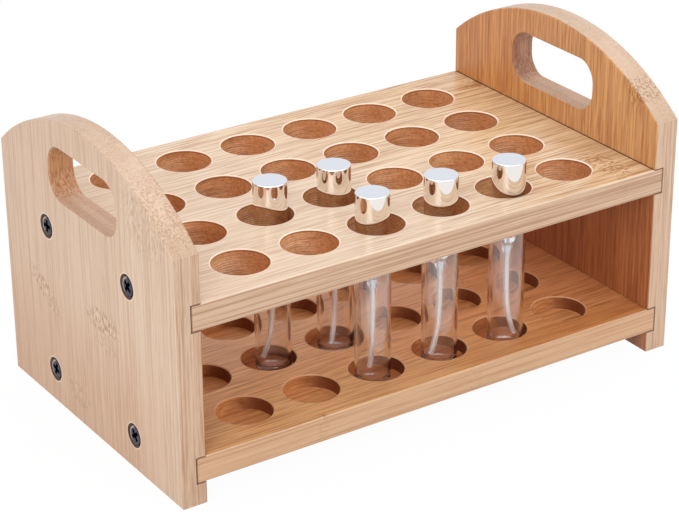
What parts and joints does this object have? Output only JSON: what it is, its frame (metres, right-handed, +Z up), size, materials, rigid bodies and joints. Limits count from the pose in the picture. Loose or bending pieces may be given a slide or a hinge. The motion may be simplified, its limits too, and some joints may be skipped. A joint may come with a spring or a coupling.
{
  "type": "perfume vial rack",
  "caption": "Two-shelf bamboo rack with arched ends and hand slots; holes in the top shelf and seats in the lower one hold capped glass spray vials upright.",
  "frame": {"origin": "middle of the rack's footprint, on the surface it stands on", "axes": "+X along the rack, from its left end to its right end; the front faces -Y; +Z up"},
  "size_m": [0.26, 0.152, 0.142],
  "materials": {
    "shelf_bamboo": "light bamboo board, satin lacquer, fine grain along the length",
    "lower_shelf_bamboo": "bamboo board, satin lacquer, a warmer tone",
    "side_bamboo": "laminated bamboo strips, satin lacquer, upright grain",
    "black_screw_steel": "black oxide, semi-gloss",
    "clear_glass": "clear, polished",
    "polished_aluminium": "mirror-polished silver",
    "white_plastic": "white, gloss",
    "frosted_plastic": "translucent natural plastic",
    "gasket_rubber": "soft, light grey",
    "spring_steel": "bright drawn wire"
  },
  "bodies": {
    "rack": {"upper_shelf": "shelf_bamboo", "lower_shelf": "lower_shelf_bamboo", "left_side": "side_bamboo", "right_side": "side_bamboo", "screw_left_lower_front": "black_screw_steel", "screw_left_lower_back": "black_screw_steel", "screw_left_upper_front": "black_screw_steel", "screw_left_upper_back": "black_screw_steel", "screw_right_lower_front": "black_screw_steel", "screw_right_lower_back": "black_screw_steel", "screw_right_upper_front": "black_screw_steel", "screw_right_upper_back": "black_screw_steel"},
    "vial_1": {"glass_vial_1": "clear_glass", "collar_1": "polished_aluminium", "neck_gasket_1": "gasket_rubber", "pump_body_1": "frosted_plastic", "pump_spring_1": "spring_steel", "dip_tube_1": "frosted_plastic"},
    "cap_1": {"cap_1": "polished_aluminium"},
    "pump_1": {"spray_button_1": "white_plastic", "pump_stem_1": "white_plastic"},
    "vial_2": {"glass_vial_2": "clear_glass", "collar_2": "polished_aluminium", "neck_gasket_2": "gasket_rubber", "pump_body_2": "frosted_plastic", "pump_spring_2": "spring_steel", "dip_tube_2": "frosted_plastic"},
    "cap_2": {"cap_2": "polished_aluminium"},
    "pump_2": {"spray_button_2": "white_plastic", "pump_stem_2": "white_plastic"},
    "vial_3": {"glass_vial_3": "clear_glass", "collar_3": "polished_aluminium", "neck_gasket_3": "gasket_rubber", "pump_body_3": "frosted_plastic", "pump_spring_3": "spring_steel", "dip_tube_3": "frosted_plastic"},
    "cap_3": {"cap_3": "polished_aluminium"},
    "pump_3": {"spray_button_3": "white_plastic", "pump_stem_3": "white_plastic"},
    "vial_4": {"glass_vial_4": "clear_glass", "collar_4": "polished_aluminium", "neck_gasket_4": "gasket_rubber", "pump_body_4": "frosted_plastic", "pump_spring_4": "spring_steel", "dip_tube_4": "frosted_plastic"},
    "cap_4": {"cap_4": "polished_aluminium"},
    "pump_4": {"spray_button_4": "white_plastic", "pump_stem_4": "white_plastic"},
    "vial_5": {"glass_vial_5": "clear_glass", "collar_5": "polished_aluminium", "neck_gasket_5": "gasket_rubber", "pump_body_5": "frosted_plastic", "pump_spring_5": "spring_steel", "dip_tube_5": "frosted_plastic"},
    "cap_5": {"cap_5": "polished_aluminium"},
    "pump_5": {"spray_button_5": "white_plastic", "pump_stem_5": "white_plastic"}
  },
  "joints": [
    {"name": "vial_1_lift", "type": "slide", "parent": "rack", "child": "vial_1", "axis": [0, 0, 1], "range_m": [0, 0.08]},
    {"name": "cap_1_pull_off", "type": "slide", "parent": "vial_1", "child": "cap_1", "axis": [0, 0, 1], "range_m": [0, 0.03]},
    {"name": "button_1_press", "type": "slide", "parent": "vial_1", "child": "pump_1", "axis": [0, 0, -1], "range_m": [0, 0.0036], "stiffness_N_per_m": 300, "deforming": ["pump_spring_1"]},
    {"name": "vial_2_lift", "type": "slide", "parent": "rack", "child": "vial_2", "axis": [0, 0, 1], "range_m": [0, 0.08]},
    {"name": "cap_2_pull_off", "type": "slide", "parent": "vial_2", "child": "cap_2", "axis": [0, 0, 1], "range_m": [0, 0.03]},
    {"name": "button_2_press", "type": "slide", "parent": "vial_2", "child": "pump_2", "axis": [0, 0, -1], "range_m": [0, 0.0036], "stiffness_N_per_m": 300, "deforming": ["pump_spring_2"]},
    {"name": "vial_3_lift", "type": "slide", "parent": "rack", "child": "vial_3", "axis": [0, 0, 1], "range_m": [0, 0.08]},
    {"name": "cap_3_pull_off", "type": "slide", "parent": "vial_3", "child": "cap_3", "axis": [0, 0, 1], "range_m": [0, 0.03]},
    {"name": "button_3_press", "type": "slide", "parent": "vial_3", "child": "pump_3", "axis": [0, 0, -1], "range_m": [0, 0.0036], "stiffness_N_per_m": 300, "deforming": ["pump_spring_3"]},
    {"name": "vial_4_lift", "type": "slide", "parent": "rack", "child": "vial_4", "axis": [0, 0, 1], "range_m": [0, 0.08]},
    {"name": "cap_4_pull_off", "type": "slide", "parent": "vial_4", "child": "cap_4", "axis": [0, 0, 1], "range_m": [0, 0.03]},
    {"name": "button_4_press", "type": "slide", "parent": "vial_4", "child": "pump_4", "axis": [0, 0, -1], "range_m": [0, 0.0036], "stiffness_N_per_m": 300, "deforming": ["pump_spring_4"]},
    {"name": "vial_5_lift", "type": "slide", "parent": "rack", "child": "vial_5", "axis": [0, 0, 1], "range_m": [0, 0.08]},
    {"name": "cap_5_pull_off", "type": "slide", "parent": "vial_5", "child": "cap_5", "axis": [0, 0, 1], "range_m": [0, 0.03]},
    {"name": "button_5_press", "type": "slide", "parent": "vial_5", "child": "pump_5", "axis": [0, 0, -1], "range_m": [0, 0.0036], "stiffness_N_per_m": 300, "deforming": ["pump_spring_5"]}
  ]
}
